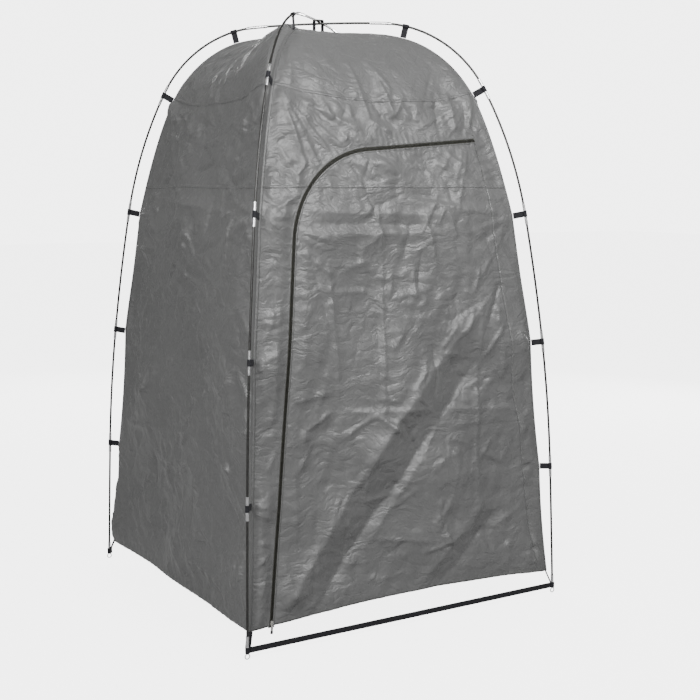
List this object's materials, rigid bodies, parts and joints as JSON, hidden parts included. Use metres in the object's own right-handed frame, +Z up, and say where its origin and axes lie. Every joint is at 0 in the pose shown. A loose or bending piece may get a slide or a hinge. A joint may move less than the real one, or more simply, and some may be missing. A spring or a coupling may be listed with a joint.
{
  "type": "privacy shower tent",
  "caption": "Square free-standing privacy shower tent: crossed folding poles carry a four-walled fabric cabin with a zipped side-opening door.",
  "frame": {"origin": "on the ground at the centre of the four feet", "axes": "+Z up the tent; the door wall faces -Y; +X to the right as seen from the door side"},
  "size_m": [1.3006, 1.2948, 2.1],
  "materials": {
    "fibreglass_rod": "gloss black fibreglass",
    "ferrule_metal": "bright drawn metal",
    "elastic_cord": "braided elastic cord",
    "pin_steel": "zinc plated wire",
    "black_webbing": "woven webbing",
    "tent_cloth": "coated polyester, soft sheen",
    "hem_cloth": "folded hem, stitched",
    "zip_tape": "woven tape",
    "zip_coil": "moulded coil",
    "slider_metal": "die-cast, plated",
    "pull_tip": "moulded tip"
  },
  "bodies": {
    "tent": {"corner_webbing": "black_webbing", "crown_strap": "black_webbing", "foot_pin_back_left": "pin_steel", "foot_pin_back_right": "pin_steel", "foot_pin_front_left": "pin_steel", "foot_pin_front_right": "pin_steel", "front_left_strip": "tent_cloth", "front_right_strip": "tent_cloth", "front_top_panel": "tent_cloth", "lower_pole_ferrules": "ferrule_metal", "lower_pole_section_01": "fibreglass_rod", "lower_pole_section_02": "fibreglass_rod", "lower_pole_section_03": "fibreglass_rod", "lower_pole_section_04": "fibreglass_rod", "lower_pole_section_05": "fibreglass_rod", "lower_pole_section_06": "fibreglass_rod", "lower_pole_section_07": "fibreglass_rod", "lower_pole_section_08": "fibreglass_rod", "lower_pole_section_09": "fibreglass_rod", "lower_pole_section_10": "fibreglass_rod", "lower_pole_section_11": "fibreglass_rod", "lower_pole_shock_cord": "elastic_cord", "pole_tips": "ferrule_metal", "roof_back": "tent_cloth", "roof_front": "tent_cloth", "roof_left": "tent_cloth", "roof_pole_tabs": "black_webbing", "roof_right": "tent_cloth", "threshold_strap": "black_webbing", "upper_pole_ferrules": "ferrule_metal", "upper_pole_section_01": "fibreglass_rod", "upper_pole_section_02": "fibreglass_rod", "upper_pole_section_03": "fibreglass_rod", "upper_pole_section_04": "fibreglass_rod", "upper_pole_section_05": "fibreglass_rod", "upper_pole_section_06": "fibreglass_rod", "upper_pole_section_07": "fibreglass_rod", "upper_pole_section_08": "fibreglass_rod", "upper_pole_section_09": "fibreglass_rod", "upper_pole_section_10": "fibreglass_rod", "upper_pole_section_11": "fibreglass_rod", "upper_pole_shock_cord": "elastic_cord", "wall_back_lower": "tent_cloth", "wall_back_upper": "tent_cloth", "wall_hem": "hem_cloth", "wall_left_lower": "tent_cloth", "wall_left_upper": "tent_cloth", "wall_pole_tabs": "black_webbing", "wall_right_lower": "tent_cloth", "wall_right_upper": "tent_cloth", "zip_coil_frame": "zip_coil", "zip_tape_frame": "zip_tape"},
    "door": {"door_lower_panel": "tent_cloth", "door_upper_panel": "tent_cloth", "door_hem": "hem_cloth", "zip_tape_door": "zip_tape", "zip_coil_door": "zip_coil"},
    "zip_slider": {"zip_slider": "slider_metal"},
    "zip_pull": {"zip_pull": "slider_metal", "zip_pull_tip": "pull_tip"}
  },
  "joints": [
    {"name": "door_swing", "type": "hinge", "parent": "tent", "child": "door", "pos_m": [0.571, -0.65781, 0.085], "axis": [-0.1206, 0.1046, 0.9872], "range_deg": [0, 105]},
    {"name": "zip_slide", "type": "slide", "parent": "tent", "child": "zip_slider", "axis": [0.1236, 0.0683, 0.99], "range_m": [0, 0.82]},
    {"name": "zip_pull_swing", "type": "hinge", "parent": "zip_slider", "child": "zip_pull", "pos_m": [-0.54313, -0.62965, 0.10044], "axis": [-0.9923, 0.0085, 0.1234], "range_deg": [0, 170]}
  ]
}
